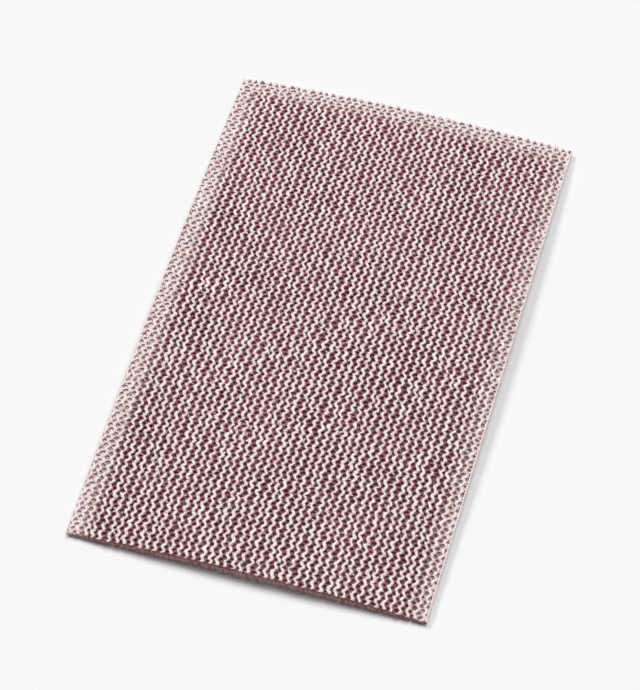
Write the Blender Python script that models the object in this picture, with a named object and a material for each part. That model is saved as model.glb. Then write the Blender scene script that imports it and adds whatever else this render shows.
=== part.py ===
"""Abrasive mesh sheet: one arched wall with zigzag ribs and slots through the web between them.

Metres, +Z up. The sheet lies on its four corners, with X across it and Y along it.
The origin is on the table, under the middle of the sheet.
"""
import bmesh
import bpy

# Outline of the cut sheet
SHEET_WIDTH = 0.081
SHEET_LENGTH = 0.133

# Heights above the sheet's underside
RIB_HEIGHT = 0.0014
WEB_HEIGHT = 0.0007

# How far the underside stands off the table: in the middle of the sheet,
# halfway along its long edges, and halfway along its short edges
CROWN_RISE = 0.0024
LONG_EDGE_RISE = 0.0015
SHORT_EDGE_RISE = 0.0021

# The zigzag ribs, which turn from side to side all in step
RIB_PITCH = 0.0047
RIB_TOP_WIDTH = 0.0013
RIB_SIDE_SLOPE = 0.00025
RIB_SWING = 0.0008
TURN_SPACING = 0.00277
EDGE_STRIP = 0.0003

# The slots through the web, and what ties the ribs between two slots and at the cut ends
SLOT_LENGTH = 0.01108
TIE_LENGTH = 0.00554
END_BAND = 0.0025

SHEET_COLOR = (0.42, 0.25, 0.26, 1.0)
SHEET_ROUGHNESS = 0.75


def clear_scene():
    for old in list(bpy.data.objects):
        bpy.data.objects.remove(old, do_unlink=True)


def coated_knit():
    material = bpy.data.materials.new("coated_knit")
    material.use_nodes = True
    shader = material.node_tree.nodes["Principled BSDF"]
    shader.inputs["Base Color"].default_value = SHEET_COLOR
    shader.inputs["Roughness"].default_value = SHEET_ROUGHNESS
    shader.inputs["Metallic"].default_value = 0.0
    return material


def arch(x, y):
    """Height of the underside over the table. It is nothing at the four corners."""
    across = (x / (SHEET_WIDTH / 2)) ** 2
    along = (y / (SHEET_LENGTH / 2)) ** 2
    corner_drop = LONG_EDGE_RISE + SHORT_EDGE_RISE - CROWN_RISE
    return (CROWN_RISE
            - (CROWN_RISE - LONG_EDGE_RISE) * across
            - (CROWN_RISE - SHORT_EDGE_RISE) * along
            - corner_drop * across * along)


def turn_rows():
    """Y of every row of turns, from the middle outwards, and of the two cut ends."""
    half_length = SHEET_LENGTH / 2
    turns = int((half_length - TURN_SPACING / 4) / TURN_SPACING)
    inner = [turn * TURN_SPACING for turn in range(-turns, turns + 1)]
    return [-half_length] + inner + [half_length]


def zigzag(y):
    """Sideways shift of the ribs at y: a triangle wave, furthest out at each turn."""
    legs = abs(y) / TURN_SPACING
    whole = int(legs)
    side = 1 if whole % 2 == 0 else -1
    return RIB_SWING * side * (1 - 2 * (legs - whole))


def rib_base_width():
    return RIB_TOP_WIDTH + 2 * RIB_SIDE_SLOPE


def rib_centres():
    """Ribs are spaced from the middle outwards, as many as fit inside the cut edges."""
    room = SHEET_WIDTH - rib_base_width() - 2 * RIB_SWING - 2 * EDGE_STRIP
    count = int(room / RIB_PITCH) + 1
    first = -RIB_PITCH * (count - 1) / 2
    return [first + RIB_PITCH * number for number in range(count)]


def slots(groove, turns):
    """Start and end of each slot in one groove. Every other groove has a slot mid-sheet, the rest a tie."""
    step = SLOT_LENGTH + TIE_LENGTH
    limit = SHEET_LENGTH / 2 - END_BAND
    middle = step / 2 if groove % 2 == 0 else 0.0
    found = []
    while middle + SLOT_LENGTH / 2 <= limit:
        for side in (-1, 1) if middle > 0 else (1,):
            start = on_turn(side * middle - SLOT_LENGTH / 2, turns)
            end = on_turn(side * middle + SLOT_LENGTH / 2, turns)
            found.append((start, end))
        middle += step
    return found


def on_turn(y, turns):
    """The turn that y falls on, or y itself when it falls on a leg between two turns."""
    nearest = min(turns, key=lambda turn: abs(turn - y))
    return nearest if abs(nearest - y) < TURN_SPACING / 50 else y


def add_line(mesh, marks, stops, turns, x_at, side):
    """Points of one lengthwise line: one at each stop along the sheet."""
    line = {}
    for y in stops:
        line[y] = mesh.verts.new((x_at(y), y, 0.0))
        line[y][marks["rib_side"]] = side
        line[y][marks["on_leg"]] = 0 if y in turns else 1
    return line


def add_strip(mesh, left, right, holes=()):
    """Faces between two neighbouring lines, split where both have a stop, and left out at the holes."""
    cuts = sorted(set(left) & set(right))
    faces = []
    for near, far in zip(cuts, cuts[1:]):
        if any(start <= near and far <= end for start, end in holes):
            continue
        outline = [left[y] for y in sorted(left, reverse=True) if near <= y <= far]
        outline += [right[y] for y in sorted(right) if near <= y <= far]
        faces.append(mesh.faces.new(outline))
    return faces


def web_plan(mesh):
    """The underside of the web, seen from above, with its slots. Faces under the ribs are marked.

    A point is marked 1 on a rib's left side and -1 on its right side,
    and marked too where a slot ends on a leg of the zigzag, between two turns.
    """
    marks = {
        "is_rib": mesh.faces.layers.int.new("is_rib"),
        "rib_side": mesh.verts.layers.int.new("rib_side"),
        "on_leg": mesh.verts.layers.int.new("on_leg"),
    }
    turns = turn_rows()
    centres = rib_centres()
    half_base = rib_base_width() / 2
    no_slots = []
    grooves = [no_slots] + [slots(groove, turns) for groove in range(len(centres) - 1)] + [no_slots]

    last = add_line(mesh, marks, turns, turns, lambda y: -SHEET_WIDTH / 2, 0)
    for centre, before, after in zip(centres, grooves, grooves[1:]):
        left_stops = turns + [y for slot in before for y in slot if y not in turns]
        right_stops = turns + [y for slot in after for y in slot if y not in turns]
        left = add_line(mesh, marks, left_stops, turns, lambda y: centre - half_base + zigzag(y), 1)
        right = add_line(mesh, marks, right_stops, turns, lambda y: centre + half_base + zigzag(y), -1)
        add_strip(mesh, last, left, before)
        for face in add_strip(mesh, left, right):
            face[marks["is_rib"]] = 1
        last = right
    cut_edge = add_line(mesh, marks, turns, turns, lambda y: SHEET_WIDTH / 2, 0)
    add_strip(mesh, last, cut_edge)
    return marks


def raise_faces(mesh, faces, height):
    """Extrude faces straight up. Returns the raised faces and their points."""
    made = bmesh.ops.extrude_face_region(mesh, geom=faces)["geom"]
    tops = [item for item in made if isinstance(item, bmesh.types.BMFace)]
    points = [item for item in made if isinstance(item, bmesh.types.BMVert)]
    bmesh.ops.translate(mesh, verts=points, vec=(0.0, 0.0, height))
    return tops, points


def build_sheet():
    mesh = bmesh.new()
    marks = web_plan(mesh)

    web_tops, _ = raise_faces(mesh, list(mesh.faces), WEB_HEIGHT)
    over_ribs = [face for face in web_tops if face[marks["is_rib"]]]
    _, rib_points = raise_faces(mesh, over_ribs, RIB_HEIGHT - WEB_HEIGHT)
    bmesh.ops.delete(mesh, geom=over_ribs, context="FACES")
    for point in rib_points:
        point.co.x += point[marks["rib_side"]] * RIB_SIDE_SLOPE
    # A slot's end cuts only the web, so the rib's top edge runs straight on past it
    spare = [point for point in rib_points if point[marks["on_leg"]]]
    bmesh.ops.dissolve_verts(mesh, verts=spare)

    for point in mesh.verts:
        point.co.z += arch(point.co.x, point.co.y)
    bmesh.ops.recalc_face_normals(mesh, faces=list(mesh.faces))

    data = bpy.data.meshes.new("mesh_sheet")
    mesh.to_mesh(data)
    mesh.free()
    sheet = bpy.data.objects.new("mesh_sheet", data)
    sheet.data.materials.append(coated_knit())
    bpy.context.scene.collection.objects.link(sheet)


clear_scene()
build_sheet()
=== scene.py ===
import math

import bmesh
import bpy
import numpy as np
from mathutils import Matrix, Vector
from mathutils.geometry import delaunay_2d_cdt


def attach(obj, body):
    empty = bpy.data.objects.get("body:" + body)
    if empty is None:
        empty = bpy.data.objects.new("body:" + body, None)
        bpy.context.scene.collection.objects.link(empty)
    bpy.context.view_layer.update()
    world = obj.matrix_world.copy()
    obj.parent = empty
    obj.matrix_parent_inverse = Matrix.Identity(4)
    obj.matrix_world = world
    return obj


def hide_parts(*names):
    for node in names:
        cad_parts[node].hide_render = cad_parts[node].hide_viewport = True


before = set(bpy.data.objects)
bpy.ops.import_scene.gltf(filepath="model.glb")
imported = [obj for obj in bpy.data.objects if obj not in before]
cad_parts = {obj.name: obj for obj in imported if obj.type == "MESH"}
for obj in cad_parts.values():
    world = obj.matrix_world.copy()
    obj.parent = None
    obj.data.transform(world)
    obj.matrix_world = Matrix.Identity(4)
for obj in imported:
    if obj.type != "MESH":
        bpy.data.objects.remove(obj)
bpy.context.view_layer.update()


# The ground of the sheet is a knitted net of fine synthetic yarn, with two small holes to each
# stitch between one rib and the next. Its face is coated with a rose-brown binder, which rounds
# the rims of the holes, and it is cut to a rectangle that lies arched on its four corners.
SHEET_WIDTH = 0.081
SHEET_LENGTH = 0.133
SHEET_THICKNESS = 0.0014
NET_TOP = 0.00112
RIM_DEPTH = 0.00018
NET_UNDERSIDE = 0.00040

RIB_COUNT = 47
RIB_SPACING = 0.001765
FIRST_RIB_X = -0.04064
RIB_LEAN = 0.0008
RIB_ENDS_PROUD = 0.0002
ROW_COUNT = 66
STITCH_LENGTH = 0.0020684
STITCHES_PAST_THE_TOP = 0.55
RIB_SWING = 0.165
SWING_PEAK = 0.465
TURN_ROUNDING = 20

CROWN_RISE = 0.0024
SHORT_EDGE_RISE = 0.0021
LEFT_EDGE_RISE = 0.0021
RIGHT_EDGE_RISE = 0.0012
RIGHT_EDGE_SKEW = 0.5


def swing(row):
    """Sideways shift of everything in a row, in rib spacings: a zigzag with rounded turns."""
    turn = 2 * math.pi * (row - SWING_PEAK)
    return RIB_SWING * (np.cos(turn) + np.cos(3 * turn) / TURN_ROUNDING)


unevenness = np.random.default_rng(11)
WAVE_COUNT = 14
WAVE_PULL = 0.030
STEEPEST_WAVE = 2.2
wave_pull = unevenness.normal(0, WAVE_PULL, (WAVE_COUNT, 2))
wave_across = unevenness.uniform(-STEEPEST_WAVE, STEEPEST_WAVE, WAVE_COUNT)
wave_along = unevenness.uniform(-STEEPEST_WAVE, STEEPEST_WAVE, WAVE_COUNT)
wave_start = unevenness.uniform(0, 2 * math.pi, (WAVE_COUNT, 2))


def uneven(rib, row, way):
    """How far the yarn is pulled out of line there, in rib spacings. way is 0 across, 1 along."""
    pull = np.zeros_like(rib)
    for wave in range(WAVE_COUNT):
        phase = wave_across[wave] * rib + wave_along[wave] * row + wave_start[wave, way]
        pull += wave_pull[wave, way] * np.sin(phase)
    return pull


def lay_flat(rib, row):
    """Place on the flat sheet of a spot on the net. Ribs count from the left, rows from the top."""
    y = SHEET_LENGTH / 2 - (row + STITCHES_PAST_THE_TOP) * STITCH_LENGTH
    across = rib + swing(row) + uneven(rib, row, 0)
    x = FIRST_RIB_X + RIB_SPACING * across - RIB_LEAN * y / (SHEET_LENGTH / 2)
    return x, y + RIB_SPACING * uneven(rib, row, 1)


def arch(x, y):
    """How far the underside of the sheet stands off the table. It is nothing at the four corners."""
    across = x / (SHEET_WIDTH / 2)
    along = y / (SHEET_LENGTH / 2)
    right_edge = RIGHT_EDGE_RISE * (1 + RIGHT_EDGE_SKEW * along)
    long_edges = LEFT_EDGE_RISE * (1 - across) / 2 + right_edge * (1 + across) / 2
    return (CROWN_RISE * (1 - across ** 2) * (1 - along ** 2)
            + SHORT_EDGE_RISE * (1 - across ** 2) * along ** 2
            + long_edges * across ** 2 * (1 - along ** 2))


# Near the left, far and right edges the coat runs thin and the holes are drawn up toward its top. The same
# share also paints light into the binder's colour there. The paler web is partly a thinner coat and partly
# painted light, and the pale hole bottoms are painted light from the lit table seen through the holes.
EDGE_COAT_AND_LIGHT_REACH = 0.0065
THIN_AND_LIT_AT_RIGHT = 0.6
THINNING = 0.45


def edge_thinning_and_light(x, y):
    """How thin the binder runs, which also marks where edge light is painted: 0 inside, up to 1 at the left
    and far edges, less at the right.
    """
    from_left = 1 - (x + SHEET_WIDTH / 2) / EDGE_COAT_AND_LIGHT_REACH
    from_right = 1 - (SHEET_WIDTH / 2 - x) / EDGE_COAT_AND_LIGHT_REACH
    from_top = 1 - (SHEET_LENGTH / 2 - y) / EDGE_COAT_AND_LIGHT_REACH
    return np.maximum(np.maximum(from_left, from_top), from_right * THIN_AND_LIT_AT_RIGHT).clip(0, 1)


def drawn_up(x, y, height):
    """Height of a spot of the net, drawn up toward its top face where the binder is thin."""
    return NET_TOP - (NET_TOP - height) * (1 - THINNING * edge_thinning_and_light(x, y))


HOLES = (
    {"rib": 0.495, "row": 0.43, "across": 0.270, "along": 0.247},
    {"rib": 0.495, "row": 0.91, "across": 0.262, "along": 0.24},
)
RING_POINTS = 10
RIM_SPREAD = 1.05
RIM_SHRINK = 0.73
THIN_SHRINK = 0.16
SHRUNK_AT_THINNESS = 0.65
HOLE_SIZE = 0.97
HOLE_SIZE_VARIES = 0.12
SMALLEST_HOLE = 0.60
LARGEST_HOLE = 1.01
HOLE_DRIFT = 0.013
LARGEST_DRIFT = 0.02
stitches = (len(HOLES), RIB_COUNT + 2, ROW_COUNT + 2)
hole_size = unevenness.normal(HOLE_SIZE, HOLE_SIZE_VARIES, stitches).clip(SMALLEST_HOLE, LARGEST_HOLE)
hole_drift = unevenness.normal(0, HOLE_DRIFT, stitches + (2,)).clip(-LARGEST_DRIFT, LARGEST_DRIFT)


def hole_ring(hole, spread, middle):
    """Points round one hole, in rib spacings and stitches. A hole stays oval and doesn't swing."""
    turn = np.arange(RING_POINTS) * 2 * math.pi / RING_POINTS + math.pi / RING_POINTS
    rib = middle[..., 0] + hole["across"] * np.cos(turn) * spread
    row = middle[..., 1] + hole["along"] * np.sin(turn) * spread
    return np.stack([rib + swing(middle[..., 1]) - swing(row), row], -1)


STITCH_START = 0.17
EDGE_STEPS = 4
WEB_LINE = ((0.0, 0.0), (0.40, 0.03), (0.72, -0.065))
MILLIMETRES = 1000
FILL_INSIDE = 1
FILL_TOLERANCE = 1e-6


def stitch_field(spread):
    """One stitch of flat net. Returns its points, the triangles round its holes, and their rings."""
    sides = [STITCH_START + step / EDGE_STEPS for step in range(EDGE_STEPS)]
    points = [(0.0, row) for row in sides]
    points += [(across, STITCH_START + 1 + rise) for across, rise in WEB_LINE]
    points += [(1.0, row) for row in reversed(sides + [STITCH_START + 1])]
    points += [(across, STITCH_START + rise) for across, rise in reversed(WEB_LINE[1:])]
    outline = list(range(len(points)))
    rings = []
    for hole in HOLES:
        rings.append(list(range(len(points), len(points) + RING_POINTS)))
        points += list(hole_ring(hole, spread, np.array([[hole["rib"], hole["row"]]])))
    borders = [(loop[place - 1], loop[place]) for loop in [outline] + rings for place in range(len(loop))]
    flat = [Vector((rib * RIB_SPACING, row * STITCH_LENGTH)) * MILLIMETRES for rib, row in points]
    _, _, faces, origins, _, _ = delaunay_2d_cdt(flat, borders, [], FILL_INSIDE, FILL_TOLERANCE)
    triangles = [[origins[corner][0] for corner in face] for face in faces]
    triangles = [face for face in triangles if not any(set(face) <= set(ring) for ring in rings)]
    return np.array(points), np.array(triangles), rings


SPOTS_PER_STITCH = 1e5


def joined(points, faces):
    """Net points that share a place become one, so that neighbouring stitches join up."""
    keys = np.round(points * SPOTS_PER_STITCH).astype(np.int64)
    _, first, same = np.unique(keys, axis=0, return_index=True, return_inverse=True)
    return points[first], same.reshape(-1)[faces]


def net_part(first_rib, last_rib, levels):
    """Repeats the stitch between two ribs. levels are (spread, height) of each ring of a hole."""
    field, triangles, rings = stitch_field(levels[0][0])
    ribs, rows = np.meshgrid(np.arange(first_rib, last_rib), np.arange(-1, ROW_COUNT), indexing="ij")
    ribs, rows = ribs.ravel(), rows.ravel()
    start = np.stack([ribs, rows, np.zeros(len(ribs))], 1)[:, None, :]
    thin_and_lit_share = edge_thinning_and_light(*lay_flat(ribs + 0.5, rows + 0.5))[:, None, None]
    shut = (thin_and_lit_share / SHRUNK_AT_THINNESS).clip(0, 1)
    cell = np.zeros((len(ribs), len(field), 3))
    cell[:, :, :2] = field
    cell[:, :, 2] = levels[0][1]
    stacks = []
    for number, (hole, ring) in enumerate(zip(HOLES, rings)):
        size = hole_size[number, ribs + 1, rows + 1][:, None, None]
        drift = hole_drift[number, ribs + 1, rows + 1][:, None, :]
        middle = np.array([hole["rib"], hole["row"]]) + drift
        stack = []
        for spread, height in levels:
            place = np.zeros((len(ribs), RING_POINTS, 3))
            funnel = spread + (THIN_SHRINK - spread) * (spread < 1) * shut
            place[:, :, :2] = hole_ring(hole, (size * funnel)[:, :, 0], middle)
            place[:, :, 2] = height
            stack.append(place)
        cell[:, ring, :] = stack[0]
        stacks.append(stack)
    base = np.arange(len(ribs))[:, None] * len(field)
    spots = [(cell + start).reshape(-1, 3)]
    faces = [(triangles[None] + base[:, :, None]).reshape(-1, 3)]
    count = len(spots[0])
    for ring, stack in zip(rings, stacks):
        upper = base + np.array(ring)
        for place in stack[1:]:
            spots.append((place + start).reshape(-1, 3))
            lower = count + np.arange(len(ribs) * RING_POINTS).reshape(len(ribs), RING_POINTS)
            count += lower.size
            next_upper, next_lower = np.roll(upper, -1, 1), np.roll(lower, -1, 1)
            faces.append(np.stack([upper, next_upper, next_lower], -1).reshape(-1, 3))
            faces.append(np.stack([upper, next_lower, lower], -1).reshape(-1, 3))
            upper = lower
    return joined(np.concatenate(spots), np.concatenate(faces))


def mesh_of(name, points, faces):
    """A mesh from arrays of points and of faces that all have the same number of corners."""
    data = bpy.data.meshes.new(name)
    data.vertices.add(len(points))
    data.vertices.foreach_set("co", np.ascontiguousarray(points, np.float32).ravel())
    data.loops.add(faces.size)
    data.loops.foreach_set("vertex_index", faces.astype(np.int32).ravel())
    data.polygons.add(len(faces))
    starts = np.arange(len(faces), dtype=np.int32) * faces.shape[1]
    data.polygons.foreach_set("loop_start", starts)
    data.update(calc_edges=True)
    data.validate()
    return data


CUT_TOLERANCE = 1e-7
TOUCHING = 1e-6


def trim(data, with_walls):
    """Cuts a flat-laid net to the sheet's rectangle. Its own cut edges turn down as walls."""
    work = bmesh.new()
    work.from_mesh(data)
    half_width, half_length = SHEET_WIDTH / 2, SHEET_LENGTH / 2 - RIB_ENDS_PROUD
    cuts = (((half_width, 0, 0), (1, 0, 0)), ((-half_width, 0, 0), (-1, 0, 0)),
            ((0, half_length, 0), (0, 1, 0)), ((0, -half_length, 0), (0, -1, 0)))
    for place, outward in cuts:
        everything = list(work.verts) + list(work.edges) + list(work.faces)
        bmesh.ops.bisect_plane(work, geom=everything, dist=CUT_TOLERANCE, plane_co=place,
                               plane_no=outward, clear_outer=True)
    loose = [vert for vert in work.verts if not vert.link_faces]
    bmesh.ops.delete(work, geom=loose, context="VERTS")
    if with_walls:
        for axis, half in ((0, half_width), (1, half_length)):
            for side in (-half, half):
                rim = [edge for edge in work.edges if len(edge.link_faces) == 1
                       and all(abs(vert.co[axis] - side) < 2 * TOUCHING
                               and vert.co.z > NET_TOP - TOUCHING for vert in edge.verts)]
                made = bmesh.ops.extrude_edge_only(work, edges=rim)["geom"]
                for item in made:
                    if isinstance(item, bmesh.types.BMVert):
                        item.co.z = drawn_up(item.co.x, item.co.y, NET_UNDERSIDE)
    bmesh.ops.triangulate(work, faces=[face for face in work.faces if len(face.verts) > 3])
    work.to_mesh(data)
    work.free()


def add_piece(name, data, material):
    """Lets a flat-laid mesh down on the table in its arch, and makes it a piece of the sheet."""
    points = np.zeros(len(data.vertices) * 3, np.float32)
    data.vertices.foreach_get("co", points)
    points = points.reshape(-1, 3)
    thin_and_lit_share = edge_thinning_and_light(points[:, 0], points[:, 1])
    below_top = NET_TOP - (NET_TOP - points[:, 2]) / (1 - THINNING * thin_and_lit_share)
    level = np.where(points[:, 2] < NET_TOP, below_top, points[:, 2])
    # The second number is the thin coat near the edges. It also sets where the binder's colour paints light.
    for title, values in (("height_in_net", level / SHEET_THICKNESS), ("edge_coat_and_light", thin_and_lit_share)):
        layer = data.attributes.new(title, "FLOAT", "POINT")
        layer.data.foreach_set("value", values.astype(np.float32))
    points[:, 2] += arch(points[:, 0], points[:, 1])
    data.vertices.foreach_set("co", points.ravel())
    data.polygons.foreach_set("use_smooth", np.ones(len(data.polygons), bool))
    data.materials.append(material)
    data.update()
    piece = bpy.data.objects.new(name, data)
    bpy.context.scene.collection.objects.link(piece)
    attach(piece, "root")
    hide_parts("mesh_sheet")
    return piece


BINDER_DEEP = (0.37, 0.114, 0.130, 1)
BINDER_ROSE = (0.330, 0.129, 0.144, 1)
BINDER_DARKER = (0.175, 0.043, 0.051, 1)
PAINTED_SHADE_ARC = (0.11, 0.034, 0.039, 1)
BINDER_PALE = (0.52, 0.31, 0.32, 1)
THIN_COAT_AND_LIT_PINK = (0.86, 0.69, 0.695, 1)
WHITE_GRIT_AND_PAINTED_LIGHT = (1.0, 0.98, 0.975, 1)
WALL_IN_COLOR = 0.00030
PALE_PATCHES = (0.50, 0.80)
DARKER_PATCHES = (0.38, 0.68)
DARKER_MOST = 0.70
DARKER_TOWARD_NEAR_END = (0.14, -0.09)
EDGE_COAT_AND_LIGHT_SHOWS = (0.10, 0.65)
PAINTED_LIGHT_SPECKS = (0.55, 0.75)
STRAY_GRIT_AND_GLINTS = (0.82, 0.92)
PAINTED_SHADE_BAND = ((0.32, (0, 0, 0, 1)), (0.60, (1, 1, 1, 1)), (0.88, (1, 1, 1, 1)), (0.97, (0, 0, 0, 1)))
NODES_IN_A_COLUMN = 5
NODE_PITCH = 260


def node(tree, kind, **values):
    """Adds a node beside the last one, with its sockets and its own settings set by name."""
    made = tree.nodes.new(kind)
    column, place = divmod(len(tree.nodes), NODES_IN_A_COLUMN)
    made.location = (column * NODE_PITCH, -place * NODE_PITCH)
    for name, value in values.items():
        if name in made.inputs:
            made.inputs[name].default_value = value
        else:
            setattr(made, name, value)
    return made


def new_finish(name, roughness, gloss):
    """A new material. Returns it, its node tree, and the place on the piece that patterns follow."""
    material = bpy.data.materials.new(name)
    material.use_nodes = True
    tree = material.node_tree
    shader = tree.nodes["Principled BSDF"]
    shader.inputs["Roughness"].default_value = roughness
    shader.inputs["Specular IOR Level"].default_value = gloss
    return material, tree, node(tree, "ShaderNodeTexCoord").outputs["Object"]


def measured(tree, name):
    """A number that the mesh carries at each of its points."""
    return node(tree, "ShaderNodeAttribute", attribute_name=name).outputs["Fac"]


def pattern(tree, spot, kind, wanted, **values):
    """A pattern that runs through the piece. wanted names its output."""
    made = node(tree, "ShaderNodeTex" + kind, **values)
    tree.links.new(spot, made.inputs["Vector"])
    return made.outputs[wanted]


def brought(tree, number, old, new=(0.0, 1.0)):
    """A number brought from its old range to a new one, and held there."""
    made = node(tree, "ShaderNodeMapRange", **{"From Min": old[0], "From Max": old[1],
                                               "To Min": new[0], "To Max": new[1]})
    tree.links.new(number, made.inputs["Value"])
    return made.outputs["Result"]


def combined(tree, operation, *numbers):
    """Sum, product and so on of numbers, each a plain one or an output."""
    made = node(tree, "ShaderNodeMath", operation=operation)
    for place, number in enumerate(numbers):
        if isinstance(number, float):
            made.inputs[place].default_value = number
        else:
            tree.links.new(number, made.inputs[place])
    return made.outputs["Value"]


def mixed(tree, share, first, second):
    """One color passing into another by a share, each a plain color or an output."""
    made = node(tree, "ShaderNodeMix", data_type="RGBA")
    tree.links.new(share, made.inputs["Factor"])
    for name, color in (("A", first), ("B", second)):
        if isinstance(color, tuple):
            made.inputs[name].default_value = color
        else:
            tree.links.new(color, made.inputs[name])
    return made.outputs["Result"]


def graded(tree, number, marks):
    """Colors set out along a number, each mark being (position, color) from low to high."""
    made = node(tree, "ShaderNodeValToRGB")
    tree.links.new(number, made.inputs["Fac"])
    stops = made.color_ramp.elements
    stops[0].position, stops[0].color = marks[0]
    stops[1].position, stops[1].color = marks[-1]
    for position, color in marks[1:-1]:
        stops.new(position).color = color
    return made.outputs["Color"]


def surfaced(tree, color, relief, strength, depth):
    """Gives a finish its color, and the fine relief that its grain makes on the surface."""
    shader = tree.nodes["Principled BSDF"]
    tree.links.new(color, shader.inputs["Base Color"])
    bump = node(tree, "ShaderNodeBump", Strength=strength, Distance=depth)
    tree.links.new(relief, bump.inputs["Height"])
    tree.links.new(bump.outputs["Normal"], shader.inputs["Normal"])


def binder_finish():
    """Rose-brown binder full of fine grit, darker in broad patches and toward the near end, with white
    specks.
    Near the edges it is paler, partly a thinner coat and partly painted light, with painted shade in its
    holes.
    """
    material, tree, spot = new_finish("rose_binder", roughness=0.62, gloss=0.4)
    height = measured(tree, "height_in_net")
    thin_and_lit_share = measured(tree, "edge_coat_and_light")
    fine = pattern(tree, spot, "Noise", "Fac", Scale=9000.0, Detail=3.0, Roughness=0.7)
    mottle = pattern(tree, spot, "Noise", "Fac", Scale=700.0, Detail=4.0, Roughness=0.6)
    broad = pattern(tree, spot, "Noise", "Fac", Scale=75.0, Detail=3.0, Roughness=0.55)
    speck_cells = pattern(tree, spot, "Voronoi", "Color", Scale=2600.0)

    top = NET_TOP / SHEET_THICKNESS
    rim = brought(tree, height, ((NET_TOP - WALL_IN_COLOR) / SHEET_THICKNESS, top))
    color = mixed(tree, rim, BINDER_DEEP, BINDER_ROSE)
    color = mixed(tree, brought(tree, mottle, PALE_PATCHES), color, BINDER_PALE)

    ways = node(tree, "ShaderNodeSeparateXYZ")
    tree.links.new(spot, ways.inputs["Vector"])
    ends = (-SHEET_LENGTH / 2, SHEET_LENGTH / 2)
    # The binder also runs darker toward the near end of the sheet and lighter toward the far end.
    lengthwise = brought(tree, ways.outputs["Y"], ends, DARKER_TOWARD_NEAR_END)
    dark_patches_and_near_end = combined(tree, "ADD", broad, lengthwise)
    color = mixed(tree, brought(tree, dark_patches_and_near_end, DARKER_PATCHES, (0.0, DARKER_MOST)), color, BINDER_DARKER)

    # Near the edges the colour is a paler pink, partly a thinner coat and partly painted light. Its white
    # specks and pale hole bottoms are painted as the lit table seen through the holes.
    thin_and_lit_color = mixed(tree, brought(tree, speck_cells, PAINTED_LIGHT_SPECKS), THIN_COAT_AND_LIT_PINK, WHITE_GRIT_AND_PAINTED_LIGHT)
    up_the_wall = brought(tree, height, (NET_UNDERSIDE / SHEET_THICKNESS, top))
    # A dark band up the walls of the holes near the edges is painted shade: the shade that the upper rim
    # throws on the far wall.
    thin_and_lit_color = mixed(tree, graded(tree, up_the_wall, PAINTED_SHADE_BAND), thin_and_lit_color, PAINTED_SHADE_ARC)
    color = mixed(tree, brought(tree, thin_and_lit_share, EDGE_COAT_AND_LIGHT_SHOWS), color, thin_and_lit_color)
    # Scattered white specks all over are partly pale grit and partly painted glints.
    color = mixed(tree, brought(tree, speck_cells, STRAY_GRIT_AND_GLINTS), color, WHITE_GRIT_AND_PAINTED_LIGHT)
    surfaced(tree, color, fine, strength=0.6, depth=0.00006)
    return material


binder = binder_finish()
hole_levels = ((RIM_SPREAD, NET_TOP), (1.0, NET_TOP - RIM_DEPTH), (RIM_SHRINK, NET_UNDERSIDE))
net_parts = (("net_left", -1, 15), ("net_middle", 15, 31), ("net_right", 31, RIB_COUNT))
for name, first_rib, last_rib in net_parts:
    spots, triangles = net_part(first_rib, last_rib, hole_levels)
    x, y = lay_flat(spots[:, 0], spots[:, 1])
    z = drawn_up(x, y, spots[:, 2])
    face_mesh = mesh_of(name, np.stack([x, y, z], 1), triangles[:, ::-1])
    trim(face_mesh, with_walls=True)
    add_piece(name, face_mesh, binder)


# The back of the net is the plain side of the knit, one cloth from edge to edge with the same
# holes through it. The binder hardly reaches it, so it is bare rose yarn.
BACK_ROSE = (0.50, 0.205, 0.215, 1)
BACK_DULL = (0.38, 0.17, 0.18, 1)
WALES_PER_RIB = 2
BAND_AT_SCALE_ONE = 0.314


def back_finish():
    """Bare knit: two fine wales of yarn to each rib, in rose that varies a little."""
    material, tree, spot = new_finish("bare_knit", roughness=0.8, gloss=0.25)
    dye = pattern(tree, spot, "Noise", "Fac", Scale=1500.0, Detail=3.0, Roughness=0.6)
    wales = pattern(tree, spot, "Wave", "Fac", Scale=WALES_PER_RIB / RIB_SPACING * BAND_AT_SCALE_ONE,
                    Distortion=1.5, Detail=1.0)
    color = mixed(tree, dye, BACK_ROSE, BACK_DULL)
    surfaced(tree, color, wales, strength=0.8, depth=0.00006)
    return material


spots, triangles = net_part(-1, RIB_COUNT, ((RIM_SHRINK, NET_UNDERSIDE),))
x, y = lay_flat(spots[:, 0], spots[:, 1])
back_mesh = mesh_of("net_back", np.stack([x, y, drawn_up(x, y, spots[:, 2])], 1), triangles)
trim(back_mesh, with_walls=False)
net_back = add_piece("net_back", back_mesh, back_finish())


# The ribs are chains of stitches that swing from side to side together. Pale abrasive grit is
# bonded along their tops, thick enough to leave them lumpy and to hide the yarn.
RIB_HALF_WIDTH = 0.240
RIB_FOOT = 0.00104
RIB_TOP = SHEET_THICKNESS
RIB_STEPS = 9
RIB_SECTION = ((-1.0, 0.0), (-0.94, 0.42), (-0.58, 0.86), (0.0, 1.0), (0.58, 0.86), (0.94, 0.42), (1.0, 0.0))
RIB_END_UNEVEN = 0.0003
RIB_SWAY = 0.022
RIB_SWELL = 0.11
KNOT_PINCH = 0.10
WIDTH_LUMPS = 0.07
HOLE_BITE = 0.13
RIB_TALL = 0.90
KNOT_TALL = 0.10
TALL_LUMPS = 0.12
GRIT_LUMPS = 0.00007

GRIT_PALE = (1.0, 0.835, 0.83, 1)
GRIT_ROSE = (0.615, 0.34, 0.353, 1)
GRIT_GLINT = (1.0, 0.95, 0.945, 1)
COAT_BLOTCHES = 0.30
COAT_CLIMBS = (1.04, 1.37)
COAT_MARKS = ((0.05, BINDER_ROSE), (0.30, GRIT_ROSE), (0.62, GRIT_PALE))
GLINTING_GRAINS = (0.60, 0.72)


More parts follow.
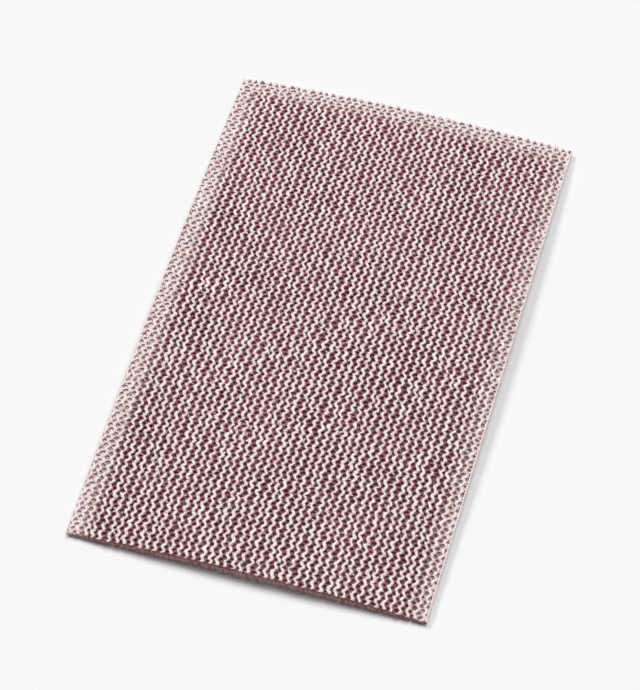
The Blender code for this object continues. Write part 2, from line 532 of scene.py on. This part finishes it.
def grit_finish():
    """Pale bonded grit on the ribs' tops, running into the rose binder down their sides."""
    material, tree, spot = new_finish("pale_grit", roughness=0.55, gloss=0.5)
    height = measured(tree, "height_in_net")
    patches = pattern(tree, spot, "Noise", "Fac", Scale=900.0, Detail=3.0, Roughness=0.6)
    speckle = pattern(tree, spot, "Noise", "Fac", Scale=3200.0, Detail=2.0, Roughness=0.6)
    glints = pattern(tree, spot, "Voronoi", "Color", Scale=2600.0)
    grain = pattern(tree, spot, "Noise", "Fac", Scale=7000.0, Detail=4.0, Roughness=0.75)
    crystals = pattern(tree, spot, "Voronoi", "Distance", Scale=9000.0)

    blotches = combined(tree, "ADD", patches, speckle)
    climb = combined(tree, "MULTIPLY_ADD", blotches, COAT_BLOTCHES, height)
    color = graded(tree, brought(tree, climb, COAT_CLIMBS), COAT_MARKS)
    color = mixed(tree, brought(tree, glints, GLINTING_GRAINS), color, GRIT_GLINT)
    surfaced(tree, color, combined(tree, "ADD", grain, crystals), strength=0.7, depth=0.00008)
    return material


def rib_chain(number):
    """One rib, cut off level with the sheet's edges. Returns its points, sides and closed ends."""
    rows = np.arange(-1, ROW_COUNT, 1 / RIB_STEPS)
    halves = np.arange(-1, ROW_COUNT + 0.5, 0.5)
    lump = unevenness.normal(0, 1, (len(rows), 1))
    sway = np.interp(rows, halves, unevenness.normal(0, RIB_SWAY, len(halves)))[:, None]
    swell = np.interp(rows, halves, unevenness.normal(0, RIB_SWELL, len(halves)))[:, None]
    knot = np.cos(4 * math.pi * (rows - SWING_PEAK))[:, None]
    tall = RIB_TALL + KNOT_TALL * knot + TALL_LUMPS * unevenness.normal(0, 1, (len(rows), 1))

    section_x, section_z = np.array(RIB_SECTION).T
    width = RIB_HALF_WIDTH * (1 - KNOT_PINCH * knot + WIDTH_LUMPS * lump + swell)
    beside_hole = np.cos(2 * math.pi * (rows - SWING_PEAK)).clip(0, 1)[:, None]
    half = np.where(section_x < 0, width * (1 - HOLE_BITE * beside_hole), width)
    row = np.repeat(rows[:, None], len(section_x), 1)
    middle_x, y = lay_flat(np.full_like(row, float(number)), row)
    x = middle_x + (section_x * half + sway) * RIB_SPACING
    z = RIB_FOOT + (RIB_TOP - RIB_FOOT) * section_z * tall
    rough = unevenness.normal(0, GRIT_LUMPS, (3,) + x.shape) * (section_z > 0)
    x, y, z = x + rough[0], y + rough[1], np.minimum(z + rough[2], RIB_TOP)

    half_width = SHEET_WIDTH / 2
    far_end, near_end = SHEET_LENGTH / 2 - unevenness.uniform(0, RIB_END_UNEVEN, 2)
    outside = (y > far_end).all(1) | (y < -near_end).all(1) | (np.abs(x) > half_width).all(1)
    points = np.stack([x.clip(-half_width, half_width), y.clip(-near_end, far_end), z], -1)
    across = len(section_x)
    kept = [step for step in range(len(rows) - 1) if not (outside[step] and outside[step + 1])]
    sides, ends = [], []
    for step in kept:
        for place in range(across - 1):
            near = step * across + place
            sides.append((near, near + 1, near + across + 1, near + across))
        if step - 1 not in kept:
            ends.append([step * across + place for place in range(across)])
        if step + 1 not in kept:
            ends.append([(step + 1) * across + place for place in reversed(range(across))])
    return points.reshape(-1, 3), sides, ends


grit = grit_finish()
rib_groups = (("ribs_left", 0, 16), ("ribs_middle", 16, 32), ("ribs_right", 32, RIB_COUNT))
for name, first_rib, last_rib in rib_groups:
    work = bmesh.new()
    for number in range(first_rib, last_rib):
        points, sides, ends = rib_chain(number)
        verts = [work.verts.new(point) for point in points]
        for face in sides + ends:
            work.faces.new([verts[corner] for corner in face])
    loose = [vert for vert in work.verts if not vert.link_faces]
    bmesh.ops.delete(work, geom=loose, context="VERTS")
    bmesh.ops.dissolve_degenerate(work, dist=CUT_TOLERANCE, edges=list(work.edges))
    bmesh.ops.triangulate(work, faces=list(work.faces))
    bmesh.ops.recalc_face_normals(work, faces=list(work.faces))
    rib_mesh = bpy.data.meshes.new(name)
    work.to_mesh(rib_mesh)
    work.free()
    rib_mesh.validate()
    add_piece(name, rib_mesh, grit)


# The right-hand cut is bound by a pale welt of yarn. It rolls over the edge of the net and down
# to its underside, and stands a hair proud of the cut.
WELT_WIDTH = 0.00046
WELT_PROUD = 0.00008
WELT_SECTION = ((-1.0, 0.00104), (-0.6, 0.00120), (0.0, 0.00126), (0.6, 0.00120),
                (1.0, 0.00102), (1.0, 0.00075), (0.8, 0.00050))
WELT_STEPS = 3
WELT_LUMPS = 0.12
LARGEST_WELT_LUMP = 2
WELT_PALE = (0.90, 0.79, 0.79, 1)
WELT_ROSE = (0.78, 0.58, 0.58, 1)
ROSE_BLOTCHES = (0.5, 0.8)


def welt_finish():
    """Pale pink yarn, blotched with the rose of the binder."""
    material, tree, spot = new_finish("welt_yarn", roughness=0.75, gloss=0.3)
    blotch = pattern(tree, spot, "Noise", "Fac", Scale=900.0, Detail=3.0, Roughness=0.6)
    fibre = pattern(tree, spot, "Noise", "Fac", Scale=7000.0, Detail=3.0, Roughness=0.7)
    color = mixed(tree, brought(tree, blotch, ROSE_BLOTCHES), WELT_PALE, WELT_ROSE)
    surfaced(tree, color, fibre, strength=0.6, depth=0.00006)
    return material


y = np.arange(-SHEET_LENGTH / 2 + RIB_ENDS_PROUD, SHEET_LENGTH / 2, STITCH_LENGTH / WELT_STEPS)[:, None]
section_x, section_z = np.array(WELT_SECTION).T
lump = unevenness.normal(0, 1, (len(y), 1)).clip(-LARGEST_WELT_LUMP, LARGEST_WELT_LUMP)
swell = 1 + WELT_LUMPS * lump
x = SHEET_WIDTH / 2 + WELT_PROUD - WELT_WIDTH / 2 * (1 - section_x * np.minimum(swell, 1.0))
z = RIB_FOOT + (section_z - RIB_FOOT) * np.where(section_z > RIB_FOOT, swell, 1.0)
points = np.stack([x, np.broadcast_to(y, x.shape), z], -1).reshape(-1, 3)
near = np.arange(len(points)).reshape(x.shape)
faces = np.stack([near[:-1, :-1], near[1:, :-1], near[1:, 1:], near[:-1, 1:]], -1).reshape(-1, 4)
add_piece("welt", mesh_of("welt", points, faces), welt_finish())


# A fringe of yarn ends and cut loops hangs at both cut ends of the sheet, where the knife went
# through the knit. The yarn is bare and a little faded, and its ends reach toward the table.
FRINGE_PER_MM = 15
FRINGE_YARN = 0.00020
FRINGE_ROOT = NET_TOP - 0.0002
FRINGE_HANG = 0.0020
SHORTEST_FRINGE = 0.15
DEEPEST_FRINGE = 0.0007
FRINGE_LEAN = 0.00022
FRINGE_TAPER = ((0.0, 0.7), (0.5, 1.0), (1.0, 0.45))
YARN_ROSE = (0.64, 0.31, 0.32, 1)
YARN_FADED = (0.78, 0.49, 0.50, 1)


def yarn_finish():
    """Bare rose yarn, a little uneven in its dye, with the fine twist of its fibres."""
    material, tree, spot = new_finish("pile_yarn", roughness=0.8, gloss=0.25)
    dye = pattern(tree, spot, "Noise", "Fac", Scale=1300.0, Detail=3.0, Roughness=0.6)
    fibre = pattern(tree, spot, "Noise", "Fac", Scale=16000.0, Detail=2.0, Roughness=0.6)
    color = mixed(tree, dye, YARN_ROSE, YARN_FADED)
    surfaced(tree, color, fibre, strength=0.5, depth=0.00002)
    return material


def fringe():
    """All the yarn ends of both cuts, as thin three-sided spikes. Returns points and faces."""
    count = int(SHEET_WIDTH * MILLIMETRES * FRINGE_PER_MM)
    half_width, half_length = SHEET_WIDTH / 2, SHEET_LENGTH / 2
    spikes = []
    for end in (-1, 1):
        x = unevenness.uniform(-half_width + FRINGE_YARN, half_width - FRINGE_YARN, count)
        y = end * (half_length - unevenness.uniform(RIB_ENDS_PROUD, DEEPEST_FRINGE, count))
        hang = FRINGE_HANG * unevenness.uniform(SHORTEST_FRINGE, 1.0, count)
        foot = -np.minimum(hang, arch(x, y)) + FRINGE_YARN / 4
        lean = unevenness.normal(0, FRINGE_LEAN, (2, count))
        turn = unevenness.uniform(0, 2 * math.pi, count)
        corners = []
        for share, width in FRINGE_TAPER:
            z = FRINGE_ROOT + share * (foot - FRINGE_ROOT)
            for side in range(3):
                angle = turn + 2 * math.pi * side / 3
                spot_x = x + lean[0] * share + width * FRINGE_YARN / 2 * np.cos(angle)
                spot_y = y + lean[1] * share / 2 + width * FRINGE_YARN / 2 * np.sin(angle)
                corners.append(np.stack([spot_x.clip(-half_width, half_width),
                                         spot_y.clip(-half_length, half_length), z], -1))
        spikes.append(np.stack(corners, 1))
    points = np.concatenate(spikes).reshape(-1, 3)
    number = np.arange(len(points)).reshape(-1, len(FRINGE_TAPER), 3)
    faces = []
    for ring in range(len(FRINGE_TAPER) - 1):
        upper, lower = number[:, ring], number[:, ring + 1]
        for side in range(3):
            other = (side + 1) % 3
            faces.append(np.stack([upper[:, side], upper[:, other], lower[:, other], lower[:, side]], -1))
    return points, np.concatenate(faces)


yarn = yarn_finish()
add_piece("cut_fringe", mesh_of("cut_fringe", *fringe()), yarn)


# Under each rib a row of short yarn loops hangs from the back of the knit. They are the pile that
# grips the hooks of a sanding block, and the sheet stands on them at its corners.
LOOPS_PER_STITCH = 2
FIRST_LOOP_ROW = -0.3
LOOP_THICKNESS = 0.00012
LOOP_HANG = 0.0010
LOOP_PATH = ((-0.24, 1.0), (-0.17, 0.25), (0.0, 0.0), (0.17, 0.25), (0.24, 1.0))
LOOP_ROOT = NET_UNDERSIDE + 0.00004
LOOPS_STRAY = (0.08, 0.05)
LOOPS_TURN = 0.5
LOOP_MARGIN_X = 0.00024
LOOP_MARGIN_Y = 0.00036


def loop_pile():
    """All the loops, as thin three-sided yarns. Returns points and faces."""
    rows = np.arange(FIRST_LOOP_ROW, ROW_COUNT - 1, 1 / LOOPS_PER_STITCH)
    rib, row = (grid.ravel() for grid in np.meshgrid(np.arange(float(RIB_COUNT)), rows, indexing="ij"))
    rib = rib + unevenness.normal(0, LOOPS_STRAY[0], len(rib))
    row = row + unevenness.normal(0, LOOPS_STRAY[1], len(row))
    x, y = lay_flat(rib, row)
    inside = (np.abs(x) < SHEET_WIDTH / 2 - LOOP_MARGIN_X) & (np.abs(y) < SHEET_LENGTH / 2 - LOOP_MARGIN_Y)
    x, y = x[inside][:, None], y[inside][:, None]
    turn = unevenness.normal(0, LOOPS_TURN, len(x))[:, None]
    path_along, path_up = np.array(LOOP_PATH).T
    along = path_along * STITCH_LENGTH
    lowest = -np.minimum(LOOP_HANG, arch(x, y)) + LOOP_THICKNESS / 4
    middle_x, middle_y = x + along * np.sin(turn), y + along * np.cos(turn)
    middle_z = lowest + path_up * (LOOP_ROOT - lowest)
    sides = []
    for side in range(3):
        angle = 2 * math.pi * side / 3 + math.pi / 2
        sideways = LOOP_THICKNESS / 2 * math.cos(angle)
        sides.append(np.stack([middle_x + sideways * np.cos(turn), middle_y - sideways * np.sin(turn),
                               middle_z + LOOP_THICKNESS / 2 * math.sin(angle)], -1))
    points = np.stack(sides, 2)
    number = np.arange(points.size // 3).reshape(points.shape[:3])
    near, far = number[:, :-1], number[:, 1:]
    faces = []
    for side in range(3):
        other = (side + 1) % 3
        around = [near[..., other], far[..., other], far[..., side], near[..., side]]
        faces.append(np.stack(around, -1).reshape(-1, 4))
    return points.reshape(-1, 3), np.concatenate(faces)


add_piece("loop_pile", mesh_of("loop_pile", *loop_pile()), yarn)


# The table top is a plain pale surface, painted matt, that takes the sheet's soft shadow. The
# whole sheet lies on it as one cloth.
TABLE_SIZE = 3.0
TABLE_COLOR = (0.94, 0.94, 0.94, 1)
half = TABLE_SIZE / 2
corners = [(-half, -half, 0), (half, -half, 0), (half, half, 0), (-half, half, 0)]
table_mesh = bpy.data.meshes.new("table_top")
table_mesh.from_pydata(corners, [], [(0, 1, 2, 3)])
table_paint = bpy.data.materials.new("table_paint")
table_paint.use_nodes = True
shader = table_paint.node_tree.nodes["Principled BSDF"]
shader.inputs["Base Color"].default_value = TABLE_COLOR
shader.inputs["Roughness"].default_value = 0.9
shader.inputs["Specular IOR Level"].default_value = 0.0
table_mesh.materials.append(table_paint)
table_top = bpy.data.objects.new("table_top", table_mesh)
bpy.context.scene.collection.objects.link(table_top)


# Three large soft lamps light the sheet: one from the left, one from behind and one from high up
# at the right. Pale walls all round fill the shadows a little and are seen past the table.
LAMPS = (
    {"name": "side_lamp", "turn": -65, "height": 42, "spread": 22, "strength": 1.38},
    {"name": "back_lamp", "turn": 15, "height": 64, "spread": 36, "strength": 1.38},
    {"name": "top_lamp", "turn": 70, "height": 74, "spread": 34, "strength": 0.74},
)
ROOM_LIGHT = 0.08
ROOM_SEEN = 0.94


def looking_from(turn, height):
    """Direction from the sheet, by its turn from straight behind and its height, in radians."""
    level = math.cos(height)
    return Vector((math.sin(turn) * level, math.cos(turn) * level, math.sin(height)))


for settings in LAMPS:
    lamp = bpy.data.lights.new(settings["name"], "SUN")
    lamp.energy = settings["strength"]
    lamp.angle = math.radians(settings["spread"])
    towards = looking_from(math.radians(settings["turn"]), math.radians(settings["height"]))
    lamp_object = bpy.data.objects.new(settings["name"], lamp)
    lamp_object.rotation_euler = towards.to_track_quat("Z", "Y").to_euler()
    bpy.context.scene.collection.objects.link(lamp_object)

room = bpy.data.worlds.new("room")
room.use_nodes = True
tree = room.node_tree
background = tree.nodes["Background"]
background.inputs["Color"].default_value = (1, 1, 1, 1)
ray = node(tree, "ShaderNodeLightPath")
seen = combined(tree, "MAXIMUM", ray.outputs["Is Camera Ray"], ray.outputs["Is Glossy Ray"])
seen = combined(tree, "MAXIMUM", seen, ray.outputs["Is Transmission Ray"])
strength = brought(tree, seen, (0.0, 1.0), (ROOM_LIGHT, ROOM_SEEN))
tree.links.new(strength, background.inputs["Strength"])
bpy.context.scene.world = room


# The camera looks down on the sheet from in front and a little to the right, through a long lens
# from well away, so that the sides of the sheet draw together only a little.
CAMERA_TURN = math.radians(16.07)
CAMERA_HEIGHT = math.radians(55.09)
CAMERA_DISTANCE = 0.7034
LENS_MM = 161.7
SENSOR_MM = 36.0
SHIFT = (-0.0145, -0.0117)
NEAREST_SEEN = 0.01
FARTHEST_SEEN = 20.0
back = looking_from(math.pi - CAMERA_TURN, CAMERA_HEIGHT)
right = Vector((0, 0, 1)).cross(back).normalized()
up = back.cross(right)
camera_data = bpy.data.cameras.new("camera")
camera_data.lens = LENS_MM
camera_data.sensor_width = SENSOR_MM
camera_data.shift_x, camera_data.shift_y = SHIFT
camera_data.clip_start = NEAREST_SEEN
camera_data.clip_end = FARTHEST_SEEN
camera = bpy.data.objects.new("camera", camera_data)
camera.matrix_world = Matrix((right, up, back)).transposed().to_4x4()
camera.matrix_world.translation = back * CAMERA_DISTANCE
bpy.context.scene.collection.objects.link(camera)
bpy.context.scene.camera = camera
bpy.context.scene.view_settings.view_transform = "Standard"
